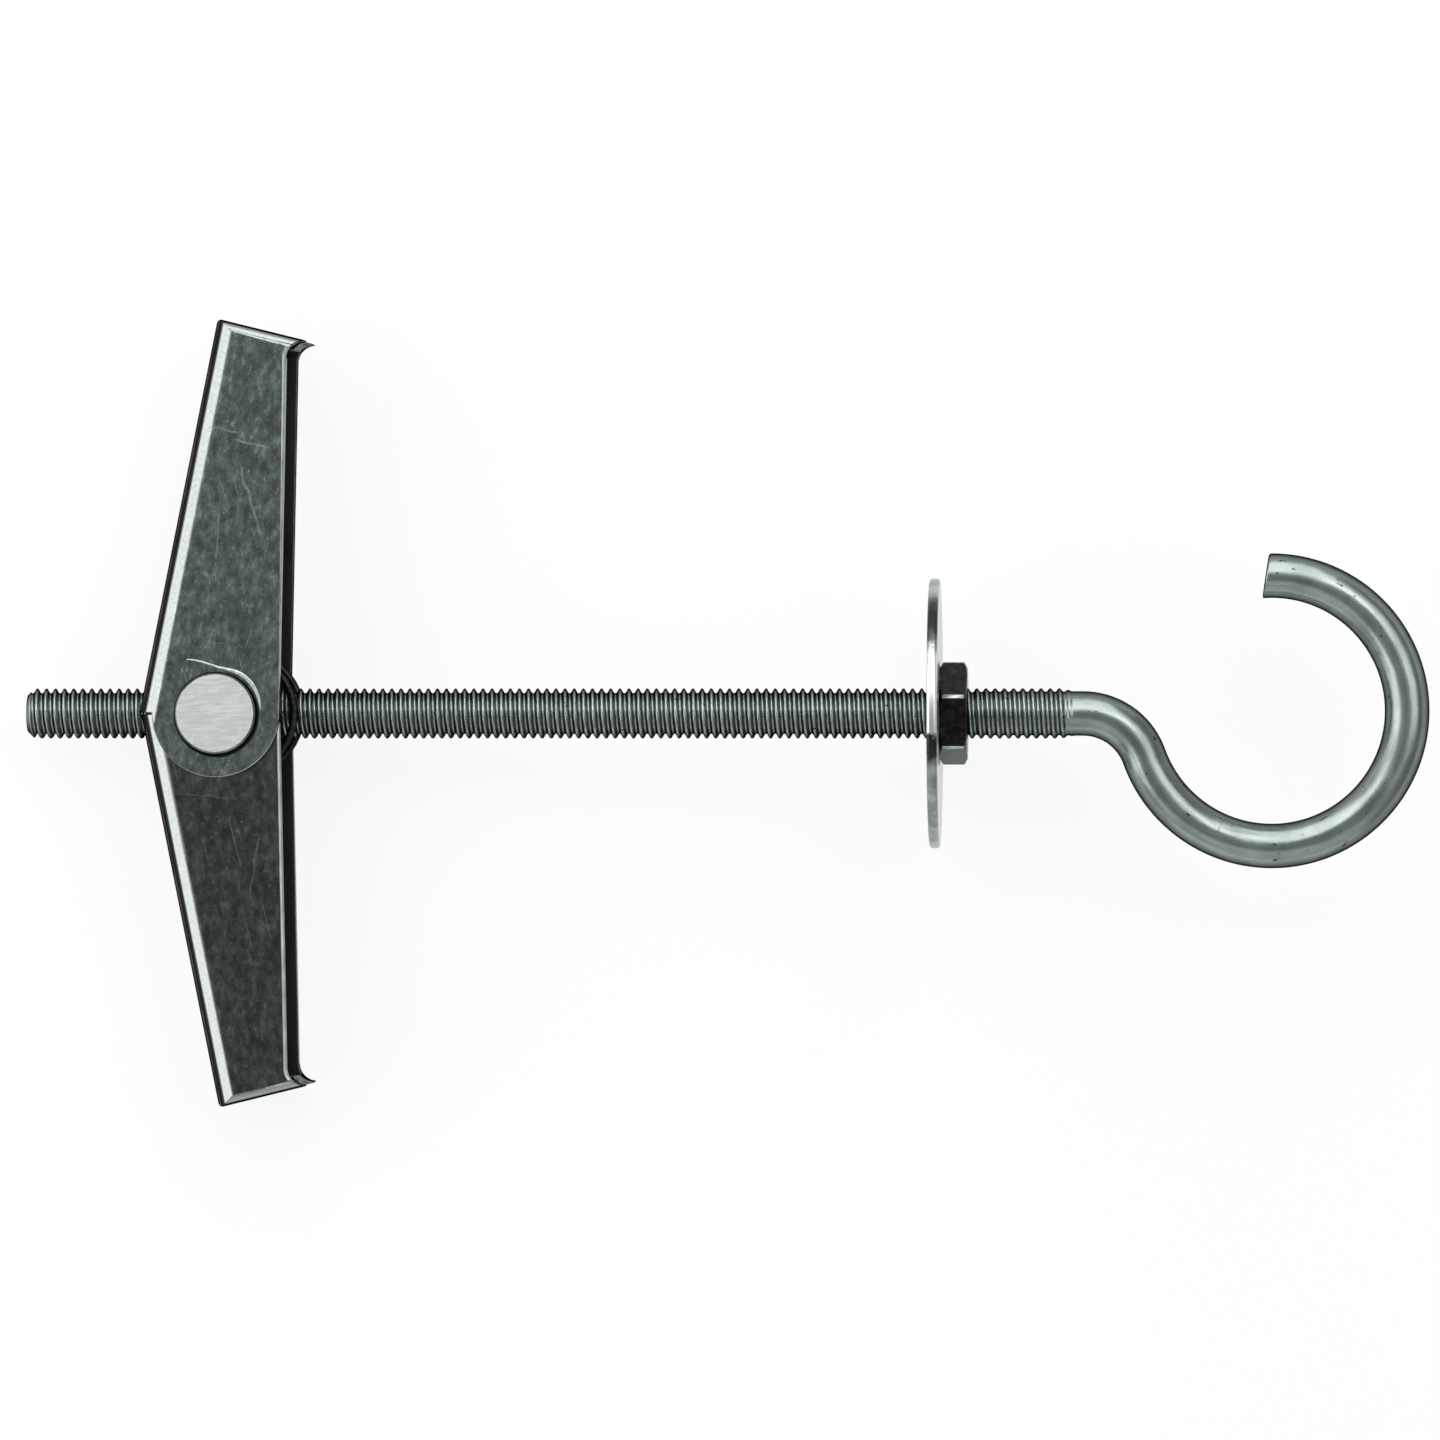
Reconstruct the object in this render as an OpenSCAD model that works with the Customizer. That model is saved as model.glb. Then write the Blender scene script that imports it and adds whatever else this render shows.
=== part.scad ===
// Spring toggle bolt: an M4 hook bolt whose sprung wings open behind a hollow wall.
//
// +X runs along the rod towards the hook, Y along the open wings, and Z across the
// wings' width. The origin is on the rod's axis, in the washer's wall face. All
// lengths are in millimetres and all angles in degrees.

/* [Rod] */
// Diameter over the crests of the thread
rod_d = 3.85; // [3.7:0.05:4]
// Thread on the wall side of the washer, from its wall face to the tip
thread_reach = 69.2; // [64:0.2:110]
// Thread on the hook side, from the washer's wall face to the plain wire
thread_tail = 10.5; // [7:0.5:20]
// Chamfer at the tip
tip_chamfer = 0.5; // [0.2:0.1:1]
// Diameter of the plain wire that the hook is bent from
wire_d = 3.4; // [3:0.05:3.6]

/* [Hook] */
// Straight plain wire between the thread and the neck's bend
neck_straight = 1.2; // [0.8:0.1:5]
// Radius of the neck's bend, to the middle of the wire
neck_r = 4.95; // [3:0.05:7]
// Radius of the hook, to the middle of the wire
hook_r = 10.3; // [8:0.05:14]
// How far the hook's centre is bent past the rod's axis, towards the hook's mouth
hook_rise = 0.2; // [0:0.05:1]
// Angle round the hook at which its end stands, from the hook's far side
hook_end = 92.5; // [75:0.5:130]
// How far the sheared end is out of square
end_skew = 11; // [0:1:20]

/* [Hexagon nut] */
// Width across flats
nut_af = 7; // [6.8:0.05:8]
// Thickness
nut_t = 2.1; // [1.8:0.1:3.2]
// How far the nut is turned about the rod
nut_turn = 41; // [0:1:59]
// Angle of the chamfer on both faces
nut_chamfer = 30; // [15:1:35]

/* [Washer] */
// Outside diameter
washer_d = 20.6; // [14:0.1:30]
// Thickness
washer_t = 0.8; // [0.6:0.05:1.5]
// Diameter of the hole
washer_hole = 4.4; // [4.2:0.05:5]
// Radius of the rolled edge of the rim
washer_edge = 0.25; // [0.1:0.01:0.28]

/* [Trunnion nut] */
// Distance from the washer's wall face to the wings' pivot
pivot_reach = 54.2; // [48:0.2:60]
// Diameter of the trunnion
trunnion_d = 6.2; // [5.8:0.1:6.4]
// How far each end stands out of the wings
trunnion_proud = 0.35; // [0.2:0.05:1]
// Chamfer round each end
trunnion_chamfer = 0.15; // [0.1:0.05:0.5]
// Radial clearance of the tapped hole over the rod's crests
thread_fit = 0.05; // [0.02:0.01:0.1]

/* [Wings] */
// Span over the tips of the two open wings
span = 60; // [50:1:90]
// Width over the outer flanges of the two wings
wings_w = 10.6; // [10.6:0.1:14]
// Thickness of the sheet
sheet_t = 0.9; // [0.7:0.05:0.9]
// Gap between the flanges that lie side by side
nest_gap = 0.1; // [0.05:0.01:0.15]
// Distance from the pivot to the back of the web, along the rod
web_back = 6; // [5.9:0.1:7]
// Lean of the web towards the hook
web_lean = 11.3; // [9:0.1:13]
// Outside radius of the bends between web and flanges
bend_r = 1.7; // [1.3:0.1:2]
// Radius of the outer flange's ear, and so the place of its free edge
ear_r = 4.85; // [4.6:0.05:5]
// Lean of the flanges' free edges towards the hook
edge_lean = 1.15; // [0:0.05:3]
// Lean of the closed end towards the pivot
end_lean = 13.9; // [8:0.1:18]
// Outside radius of the bends between the closed end and the flanges
end_bend_r = 0.9; // [0.9:0.05:1.2]
// Outside radius of the corner between the closed end and the web
tip_corner_r = 0.4; // [0.1:0.05:0.8]
// Distance from the pivot's plane to the claws' points, along the rod
claw_reach = 6.7; // [6.2:0.1:8]
// Radial clearance between the trunnion and the holes in the flanges
pivot_fit = 0.1; // [0.05:0.01:0.15]
// Gap between the two webs where they butt against each other
butt_gap = 0.1; // [0.05:0.05:0.3]
// Angle through which each wing folds towards the hook
fold_max = 76; // [60:1:76]
// Clearance round the rod where it passes through a wing
rod_gap = 0.4; // [0.3:0.05:0.6]

/* [Spring] */
// Diameter of the spring wire
spring_d = 0.6; // [0.45:0.05:0.6]
// Outside diameter of the coils
coil_d = 9.8; // [9.6:0.05:9.8]
// Offset of the coils from the pivot, towards the hook
coil_shift = 1.15; // [1:0.05:1.15]
// Length of the straight legs
leg_l = 12.6; // [8:0.1:16]
// Clearance of the spring to the rod, the flanges and the webs
spring_gap = 0.04; // [0.03:0.01:0.06]
// Radius of the bends into the bridge that joins the two coils
bridge_r = 0.7; // [0.5:0.05:1]

/* [Hidden] */
$fn = 96;
far = 120;              // longer than anything it has to cut through
cut = 1;                // overshoot of cutting shapes
rod_r = rod_d / 2;
wire_r = wire_d / 2;
runout = 0.7;           // taper from the thread to the plain wire
seam = 0.02;            // how much fatter than the wire a sleeve is where two bends meet
sleeve_l = 0.5;         // length of such a sleeve

// Hook: the neck's arc and the hook's arc touch each other.
neck_x = thread_tail + neck_straight;
hook_x = neck_x + sqrt(pow(neck_r + hook_r, 2) - pow(neck_r + hook_rise, 2));
meet_angle = atan2(neck_r + hook_rise, hook_x - neck_x);

// Wings. The right wing is described at the pivot, lying along +Y, with its outer
// flange on +Z; the left wing is the same stamping turned over about the rod.
outer_z = wings_w / 2;
inner_z = outer_z - sheet_t - nest_gap;
room_z = inner_z - sheet_t;
pivot_r = trunnion_d / 2 + pivot_fit;
web_out = web_back * cos(web_lean);
web_in = web_out - sheet_t;
tip_turn = cos(web_lean - end_lean);
tip_y = span / 2 + tip_corner_r * ((cos(web_lean) + sin(end_lean)) / tip_turn - 1);
tip_x = tip_y * tan(web_lean) - web_back;
end_out = tip_x * sin(end_lean) + tip_y * cos(end_lean);
inner_bend_r = bend_r - sheet_t;
inner_end_r = max(end_bend_r - sheet_t, 0.05);

// The inner flange's ear turns inside the other wing's channel, so it clears the
// bend there and, with both wings folded, the other wing's web.
ear_gap = 0.15;
bend_left = 0.02;       // height of the bends left inside the ears
bend_rise = inner_bend_r - sqrt(pow(inner_bend_r, 2) - pow(inner_bend_r - nest_gap, 2));
inner_ear_r = min(ear_r, web_in - bend_rise - ear_gap);
inner_ear_end = web_lean + 2 * fold_max - 180;
inner_edge_y = (inner_ear_r - ear_r * cos(inner_ear_end) / cos(edge_lean))
             / (tan(edge_lean) * cos(inner_ear_end) + sin(inner_ear_end));

// Claws: a hollow quarter round runs from the free edge out to a sharp point.
claw_land = 0.1;
claw_y = tip_y - (claw_reach - tip_x) * tan(end_lean) - claw_land;
claw_r = (claw_reach * cos(edge_lean) - ear_r - claw_y * sin(edge_lean))
       / (cos(edge_lean) - sin(edge_lean));

// Spring: both legs lie inside the webs, and the coils lie between rod and flanges.
spring_r = spring_d / 2;
coil_r = coil_d / 2 - spring_r;
coil_in_z = rod_r + spring_gap + spring_r;
coil_out_z = room_z - spring_gap - spring_r;
leg_reach = web_in - spring_r - spring_gap + coil_shift * cos(web_lean);
leg_lean = web_lean - asin(leg_reach / norm([coil_r, leg_l])) + atan2(coil_r, leg_l);
bridge_half = asin(bridge_r / coil_r);
ring_sides = 10;
ring_step = 15;

zinc = [0.62, 0.66, 0.64];
dark_zinc = [0.36, 0.41, 0.39];
bright_steel = [0.78, 0.80, 0.79];
black_nut = [0.20, 0.18, 0.19];
spring_steel = [0.30, 0.30, 0.30];

// X position of the flanges' free edge at a height y above the pivot.
function free_edge(y) = (ear_r + y * sin(edge_lean)) / cos(edge_lean);

// Point on a circle of radius r at angle a.
function polar(r, a) = [r * cos(a), r * sin(a)];

// --- Hook rod: threaded rod, neck and hook, bent from one wire ---

module threaded_rod() {
    rotate([0, 90, 0]) {
        translate([0, 0, -thread_reach]) cylinder(h = tip_chamfer, r1 = rod_r - tip_chamfer, r2 = rod_r);
        translate([0, 0, tip_chamfer - thread_reach])
            cylinder(h = thread_reach + thread_tail - tip_chamfer, r = rod_r);
        translate([0, 0, thread_tail]) cylinder(h = runout, r1 = rod_r, r2 = wire_r);
        translate([0, 0, thread_tail]) cylinder(h = neck_straight, r = wire_r);
    }
}

// Wire bent round the origin from angle a0 through the angle sweep.
module wire_arc(r, a0, sweep) {
    rotate([0, 0, a0]) rotate_extrude(angle = sweep) translate([r, 0]) circle(wire_r);
}

module hook_arc() {
    trim = end_skew + 2;
    difference() {
        wire_arc(hook_r, 180 + meet_angle, 180 + hook_end - meet_angle + trim);
        rotate([0, 0, hook_end]) translate([hook_r, 0, 0]) rotate([0, 0, -end_skew])
            translate([-2 * wire_r, 0, -2 * wire_r]) cube(4 * wire_r);
    }
}

// Short sleeve over the place where the wire at angle a passes from one bend to the next.
module sleeve(a) {
    rotate([0, 0, a]) rotate([0, 90, 0]) cylinder(h = sleeve_l, r = wire_r + seam, center = true);
}

module hook_rod() {
    color(zinc) union() {
        threaded_rod();
        translate([neck_x, -neck_r, 0]) wire_arc(neck_r, meet_angle, 90 - meet_angle);
        translate([neck_x, 0, 0]) sleeve(0);
        translate([hook_x, hook_rise, 0]) hook_arc();
        translate([hook_x, hook_rise] - polar(hook_r, meet_angle)) sleeve(meet_angle - 90);
    }
}

// --- Washer and nut ---

module washer() {
    r = washer_d / 2;
    color(zinc) rotate([0, 90, 0]) rotate_extrude() union() {
        translate([washer_hole / 2, 0]) square([r - washer_edge - washer_hole / 2, washer_t]);
        translate([r - 2 * washer_edge, washer_edge])
            square([2 * washer_edge, washer_t - 2 * washer_edge]);
        for (y = [washer_edge, washer_t - washer_edge])
            translate([r - washer_edge, y]) circle(washer_edge);
    }
}

module hex_nut() {
    corner_r = nut_af / 2 / cos(30);
    rise = (corner_r - nut_af / 2) * tan(nut_chamfer);
    color(black_nut) translate([washer_t, 0, 0]) rotate([0, 90, 0]) rotate([0, 0, nut_turn])
        difference() {
            intersection() {
                cylinder(h = nut_t, r = corner_r, $fn = 6);
                union() {
                    cylinder(h = rise, r1 = nut_af / 2, r2 = corner_r);
                    translate([0, 0, rise]) cylinder(h = nut_t - 2 * rise, r = corner_r);
                    translate([0, 0, nut_t - rise]) cylinder(h = rise, r1 = corner_r, r2 = nut_af / 2);
                }
            }
            translate([0, 0, -cut]) cylinder(h = nut_t + 2 * cut, r = rod_r + thread_fit);
        }
}

// --- Trunnion nut: the pin on which both wings turn, tapped across for the rod ---

module trunnion_nut() {
    half = outer_z + trunnion_proud;
    r = trunnion_d / 2;
    color(bright_steel) translate([-pivot_reach, 0, 0]) difference() {
        union() {
            translate([0, 0, trunnion_chamfer - half]) cylinder(h = 2 * (half - trunnion_chamfer), r = r);
            for (side = [0, 1]) mirror([0, 0, side]) translate([0, 0, half - trunnion_chamfer])
                cylinder(h = trunnion_chamfer, r1 = r, r2 = r - trunnion_chamfer);
        }
        rotate([0, 90, 0]) cylinder(h = 2 * r + 2 * cut, r = rod_r + thread_fit, center = true);
    }
}

// --- Wings: two identical troughs, each pressed from one sheet ---

// Section with two rounded corners on its low side: x from -d, y from z0 to z1.
module trough_section(d, z0, z1, r) {
    translate([r - d, z0]) square([far, z1 - z0]);
    translate([-d, z0 + r]) square([2 * r, z1 - z0 - 2 * r]);
    for (z = [z0 + r, z1 - r]) translate([r - d, z]) circle(r);
}

// Solid bounded by the web and both flanges, set in from the sheet's outside.
module web_block(inset, r) {
    rotate([0, 0, -web_lean]) translate([0, far / 2, 0]) rotate([90, 0, 0])
        linear_extrude(height = far)
            trough_section(web_out - inset, inset - inner_z, outer_z - inset, r);
}

// Solid bounded by the closed end and both flanges, set in from the sheet's outside.
module end_block(inset, r) {
    rotate([0, 0, -end_lean]) translate([-far / 2, 0, 0]) rotate([90, 0, 90])
        linear_extrude(height = far) mirror([1, 0])
            trough_section(end_out - inset, inset - inner_z, outer_z - inset, r);
}

// Side view of a flange: ear, free edge, claw and foot. The web and the closed end
// are cut by the blocks above. The free edge leaves the ear at the angle leave.
module flange_side(ear, leave, edge_y) {
    arc_y = claw_y - claw_r;
    circle(ear);
    difference() {
        polygon([[-far, butt_gap / 2], [0, butt_gap / 2], polar(ear, leave),
                 [free_edge(edge_y), edge_y], [free_edge(arc_y), arc_y],
                 [claw_reach, arc_y], [claw_reach, far], [-far, far]]);
        translate([claw_reach, arc_y]) circle(claw_r);
    }
}

// Rounds the corner between the web and the closed end.
module tip_corner() {
    down = [-sin(web_lean), -cos(web_lean)];
    along = [cos(end_lean), -sin(end_lean)];
    tip = [tip_x, tip_y];
    middle = tip + (down + along) * tip_corner_r / tip_turn;
    touch = (along * down + 1) * tip_corner_r / tip_turn;
    difference() {
        polygon([tip - (down + along) * cut, tip + down * touch - along * cut, tip + down * touch,
                 middle, tip + along * touch, tip + along * touch - down * cut]);
        translate(middle) circle(tip_corner_r);
    }
}

module wing() {
    difference() {
        intersection() {
            web_block(0, bend_r);
            end_block(0, end_bend_r);
            union() {
                linear_extrude(height = far)
                    flange_side(ear_r, -edge_lean, -ear_r * sin(edge_lean));
                mirror([0, 0, 1]) linear_extrude(height = far)
                    flange_side(inner_ear_r, inner_ear_end, inner_edge_y);
            }
        }
        intersection() {
            web_block(sheet_t, inner_bend_r);
            end_block(sheet_t, inner_end_r);
        }
        // The ears are flat right up to their edges.
        translate([-far, -far, bend_left - room_z])
            cube([2 * far, far + butt_gap / 2, room_z + outer_z - sheet_t - 2 * bend_left]);
        translate([0, 0, -far / 2]) linear_extrude(height = far) tip_corner();
        cylinder(h = far, r = pivot_r, center = true);
        // The rod passes the butting webs, and the closed end once the wing is folded.
        rotate([0, -90, 0]) cylinder(h = far, r = rod_r + rod_gap);
        rotate([0, 0, fold_max]) rotate([0, 90, 0]) cylinder(h = far, r = rod_r + rod_gap);
    }
}

module right_wing() {
    color(dark_zinc) translate([-pivot_reach, 0, 0]) wing();
}

module left_wing() {
    color(dark_zinc) translate([-pivot_reach, 0, 0]) rotate([180, 0, 0]) wing();
}

// --- Spring: two coils round the trunnion, one each side of the rod, joined by a
// bridge that passes under the rod, with a leg inside each web ---

// Each station is [centre of the wire, direction across the wire].
function coil_station(a, z) = [concat(polar(coil_r, a) + [coil_shift, 0], z), concat(polar(1, a), 0)];

function coil_run(a0, a1, z0, z1) =
    let (steps = ceil((a1 - a0) / ring_step))
    [for (i = [0 : steps]) coil_station(a0 + (a1 - a0) * i / steps, z0 + (z1 - z0) * i / steps)];

function leg_tip(side) =
    let (a = 180 - side * leg_lean, root = coil_station(a, side * coil_out_z))
    [root[0] + leg_l * [sin(leg_lean), side * cos(leg_lean), 0], root[1]];

function bridge_bend(side) =
    let (y = -coil_r * cos(bridge_half), down = [0, -1, 0])
    [for (i = [1 : 3])
        let (f = side > 0 ? 90 * i / 4 : 90 - 90 * i / 4)
        [[coil_shift - side * bridge_r * (1 - sin(f)), y,
          side * (coil_in_z - bridge_r * (1 - cos(f)))], down]];

spring_path = concat(
    [leg_tip(1)],
    coil_run(180 - leg_lean, 630 - bridge_half, coil_out_z, coil_in_z),
    bridge_bend(1),
    bridge_bend(-1),
    coil_run(270 + bridge_half, 540 + leg_lean, -coil_in_z, -coil_out_z),
    [leg_tip(-1)]);

function unit(v) = v / norm(v);

// Tube swept along a list of stations, closed by a flat face at each end.
module wire_sweep(path, r, sides) {
    last = len(path) - 1;
    rings = [for (i = [0 : last])
        let (t = unit(path[min(i + 1, last)][0] - path[max(i - 1, 0)][0]),
             n = unit(path[i][1] - (path[i][1] * t) * t),
             b = cross(t, n))
        for (k = [0 : sides - 1])
            path[i][0] + r * (cos(360 * k / sides) * n + sin(360 * k / sides) * b)];
    skin = [for (i = [0 : last - 1], k = [0 : sides - 1])
        let (a = i * sides + k, b = i * sides + (k + 1) % sides)
        each [[a, a + sides, b], [b, a + sides, b + sides]]];
    first_cap = [for (k = [0 : sides - 1]) k];
    last_cap = [for (k = [sides - 1 : -1 : 0]) last * sides + k];
    polyhedron(points = rings, faces = concat(skin, [first_cap, last_cap]));
}

module wing_spring() {
    color(spring_steel) translate([-pivot_reach, 0, 0])
        wire_sweep(spring_path, spring_r, ring_sides);
}

hook_rod();
trunnion_nut();
right_wing();
left_wing();
wing_spring();
washer();
hex_nut();
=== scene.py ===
"""Spring toggle bolt with an open hook: finish, thread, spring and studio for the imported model.

Everything is in metres in the model's own frame: +X along the rod towards the hook, +Y along the
right wing, +Z away from the surface that the bolt lies on. The origin is in the washer's wall face.
"""

import math

import bmesh
import bpy
from mathutils import Matrix, Vector


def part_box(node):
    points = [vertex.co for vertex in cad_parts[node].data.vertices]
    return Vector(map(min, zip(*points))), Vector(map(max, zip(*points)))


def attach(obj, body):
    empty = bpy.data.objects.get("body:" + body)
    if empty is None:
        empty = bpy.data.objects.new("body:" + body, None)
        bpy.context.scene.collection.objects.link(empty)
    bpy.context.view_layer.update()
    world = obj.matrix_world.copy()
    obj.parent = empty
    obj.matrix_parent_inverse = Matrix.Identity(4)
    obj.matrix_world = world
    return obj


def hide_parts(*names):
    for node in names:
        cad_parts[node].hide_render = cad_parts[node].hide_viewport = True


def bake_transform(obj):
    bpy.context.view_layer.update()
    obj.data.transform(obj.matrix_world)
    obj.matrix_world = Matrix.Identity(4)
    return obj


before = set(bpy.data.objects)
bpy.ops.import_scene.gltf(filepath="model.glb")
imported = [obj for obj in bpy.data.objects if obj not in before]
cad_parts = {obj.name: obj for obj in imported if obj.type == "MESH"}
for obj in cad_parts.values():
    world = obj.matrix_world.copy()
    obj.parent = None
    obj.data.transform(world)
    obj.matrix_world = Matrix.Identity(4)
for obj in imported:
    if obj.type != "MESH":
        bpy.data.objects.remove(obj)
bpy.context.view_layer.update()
MM = 0.001


# ---------------------------------------------------------------------------------------------
# Hook rod. One length of low-carbon steel wire: the straight end carries a rolled right-hand M4
# thread, the other end is bent into an open round hook and sheared off. It is zinc plated after
# forming, so the plating is thin and bright on the crests and dull in the roots.
# ---------------------------------------------------------------------------------------------

rod_low, rod_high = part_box("hook_rod")
pitch = 0.7 * MM
crest_r = rod_high.z
thread_depth = 0.37 * MM
tip_chamfer = 0.5 * MM
thread_end_x = 11.2 * MM
wire_r = 1.7 * MM
neck_x = 11.7 * MM
neck_r = 4.95 * MM
hook_r = 10.3 * MM
hook_y = 0.2 * MM
hook_x = neck_x + math.sqrt((neck_r + hook_r) ** 2 - (neck_r + hook_y) ** 2)
hook_end = math.radians(92.5)
shear_skew = math.radians(11)
shear_reach = 3 * MM
shear_round = 0.16 * MM
facets = 40
ring_step = 0.35 * MM
weld = 1e-7
quarter = math.pi / 2

# Over the last turns the thread is rolled less deep, and then it runs out into the plain wire.
last_turns = 5.5 * MM
last_turns_depth = 0.72
run_out = 1.3 * MM

# One pitch of the rolled form from crest to crest: (place along the pitch, height of the flank).
half_form = [(0.08, 0.97), (0.15, 0.84), (0.22, 0.60), (0.30, 0.31), (0.39, 0.08)]
thread_form = [(0, 1), *half_form, (0.5, 0), *[(1 - t, h) for t, h in reversed(half_form)]]

# The round that the shear leaves at the hook's end: (share of its length, share of the radius).
shear_form = [(0, 1.0), (0.35, 0.995), (0.75, 0.965), (1.0, 0.9)]

wire_tones = ((0.66, 0.735, 0.705), (0.87, 0.95, 0.92))
wire_film_tone = (0.42, 0.43, 0.425)
streak_tone = (0.42, 0.48, 0.46)
pit_tone = (0.07, 0.076, 0.074)
root_tone = (0.72, 0.80, 0.77)


def ramp(x, x0, x1):
    """0 before x0, 1 after x1, and smooth in between."""
    t = min(max((x - x0) / (x1 - x0), 0), 1)
    return t * t * (3 - 2 * t)


def thread_radius(x, height):
    """Radius of the threaded rod at x, where the thread's form has the given height."""
    depth = thread_depth * (1 - (1 - last_turns_depth) * ramp(x, 0, last_turns))
    radius = crest_r - depth * (1 - height)
    radius += (wire_r - radius) * ramp(x, thread_end_x - run_out, thread_end_x)
    return min(radius, crest_r - tip_chamfer + x - rod_low.x)


def round_about(x, y, z, radius, across):
    """A ring of points about (x, y, z). Across is the in-plane unit vector at which it starts."""
    turns = [2 * math.pi * j / facets for j in range(facets)]
    return [
        Vector((x, y, z)) + radius * (math.cos(a) * across + math.sin(a) * Vector((0, 0, 1)))
        for a in turns
    ]


def threaded_rows():
    """Rows of points that follow the helix, each a little further along the rod, with the thread's
    height at each point. Rows that run past an end are held there."""
    rows, heights = [], []
    start, stop = rod_low.x - pitch, thread_end_x + pitch
    for turn in range(math.ceil((stop - start) / pitch) + 1):
        for place, height in thread_form:
            row, levels = [], []
            for j in range(facets):
                around = j / facets
                x = start + (turn + place + around) * pitch
                x = min(max(x, rod_low.x), thread_end_x)
                radius = thread_radius(x, height)
                angle = 2 * math.pi * around
                row.append(Vector((x, radius * math.cos(angle), radius * math.sin(angle))))
                faded = ramp(x, thread_end_x - run_out, thread_end_x)
                levels.append(height + (1 - height) * faded)
            rows.append(row)
            heights.append(levels)
    return rows, heights


def hook_rows():
    """Rings round the plain wire, through the neck and the hook to the sheared end, with how far
    along the wire each ring lies."""
    rows, along = [], []
    meet = math.atan2(neck_r + hook_y, hook_x - neck_x)
    for k in range(3):
        x = thread_end_x + (neck_x - thread_end_x) * k / 2
        rows.append(round_about(x, 0, 0, wire_r, Vector((0, 1, 0))))
        along.append(x)
    count = math.ceil((quarter - meet) * neck_r / ring_step)
    for k in range(1, count):
        a = quarter + (meet - quarter) * k / count
        out = Vector((math.cos(a), math.sin(a), 0))
        rows.append(round_about(*(Vector((neck_x, -neck_r, 0)) + neck_r * out), wire_r, out))
        along.append(neck_x + (quarter - a) * neck_r)
    neck_end = neck_x + (quarter - meet) * neck_r
    start, stop = math.pi + meet, 2 * math.pi + hook_end
    count = math.ceil((stop - start) * hook_r / ring_step)
    rounded = [(stop - shear_round * (1 - t) / hook_r, size) for t, size in shear_form]
    plain = [(start + (stop - start) * k / count, 1.0) for k in range(count)]
    for a, size in plain + rounded:
        skew = math.tan(shear_skew) * ramp(a, stop - shear_reach / hook_r, stop)
        row = []
        for j in range(facets):
            turn = 2 * math.pi * j / facets
            outward = -wire_r * size * math.cos(turn)
            reach = hook_r + outward
            here = a - skew * outward / reach
            x, y = hook_x + reach * math.cos(here), hook_y + reach * math.sin(here)
            row.append(Vector((x, y, wire_r * size * math.sin(turn))))
        rows.append(row)
        along.append(neck_end + (a - start) * hook_r)
    return rows, along


def finished(name, work):
    """Makes a mesh that was worked on into a piece of the scene."""
    mesh = bpy.data.meshes.new(name)
    work.to_mesh(mesh)
    work.free()
    piece = bpy.data.objects.new(name, mesh)
    bpy.context.scene.collection.objects.link(piece)
    return piece


def hook_rod_wire():
    """The whole wire as one piece. The attribute lay holds each point's place on the wire as if it
    were straight, and crest the height of the thread there."""
    work = bmesh.new()
    lay = work.verts.layers.float_vector.new("lay")
    crest = work.verts.layers.float.new("crest")

    def add(rows, along, heights):
        grid = []
        for i, row in enumerate(rows):
            points = []
            for j, co in enumerate(row):
                v = work.verts.new(co)
                angle = 2 * math.pi * j / facets
                reach = wire_r if along else math.hypot(co.y, co.z)
                s = along[i] if along else co.x
                v[lay] = (s, reach * math.cos(angle), reach * math.sin(angle))
                v[crest] = heights[i][j] if heights else 1.0
                points.append(v)
            grid.append(points)
        return grid

    rows, heights = threaded_rows()
    grid = add(rows, None, heights)
    climb = len(thread_form)
    for i in range(len(grid) - climb - 1):
        for j in range(facets):
            k = (j + 1) % facets
            up = climb if k == 0 else 0
            work.faces.new((grid[i][j], grid[i + 1][j], grid[i + 1 + up][k], grid[i + up][k]))
    rows, along = hook_rows()
    grid = add(rows, along, None)
    for i in range(len(grid) - 1):
        for j in range(facets):
            k = (j + 1) % facets
            work.faces.new((grid[i][j], grid[i + 1][j], grid[i + 1][k], grid[i][k]))
    work.faces.new(grid[-1])
    bmesh.ops.remove_doubles(work, verts=work.verts, dist=weld)
    bmesh.ops.edgeloop_fill(work, edges=[e for e in work.edges if e.is_boundary])
    bmesh.ops.recalc_face_normals(work, faces=work.faces)
    for face in work.faces:
        is_wire_end = len(face.verts) > 4
        face.smooth = not is_wire_end
    return finished("hook_rod_wire", work)


def link(material, source, socket):
    """Joins two sockets of a material's node tree."""
    material.node_tree.links.new(source, socket)


def node(material, kind, **settings):
    """Adds a node to a material. Settings are properties of the node, or values of its inputs."""
    made = material.node_tree.nodes.new(kind)
    for key, value in settings.items():
        if hasattr(made, key):
            setattr(made, key, value)
        else:
            made.inputs[key.replace("_", " ")].default_value = value
    return made


def plated_metal(name, tone, roughness, edge_tint, film=None):
    """A metal surface with constant gloss settings, and if film is given, a thin absorbing film
    of that tone, such as passivate. Returns the material and its shader node."""
    material = bpy.data.materials.new(name)
    material.use_nodes = True
    shader = material.node_tree.nodes["Principled BSDF"]
    shader.inputs["Base Color"].default_value = (*tone, 1)
    shader.inputs["Metallic"].default_value = 1.0
    shader.inputs["Roughness"].default_value = roughness
    shader.inputs["Specular Tint"].default_value = (*edge_tint, 1)
    if film:
        shader.inputs["Coat Weight"].default_value = 1.0
        shader.inputs["Coat Roughness"].default_value = 0.3
        shader.inputs["Coat IOR"].default_value = 1.0
        shader.inputs["Coat Tint"].default_value = (*film, 1)
    return material, shader


def blotches(material, vector, size, detail=3.0, roughness=0.55):
    """Cloudy variation of the given size, in metres. Returns a value socket from 0 to 1."""
    made = node(material, "ShaderNodeTexNoise", Scale=1 / size, Detail=detail, Roughness=roughness)
    link(material, vector, made.inputs["Vector"])
    return made.outputs["Fac"]


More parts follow.
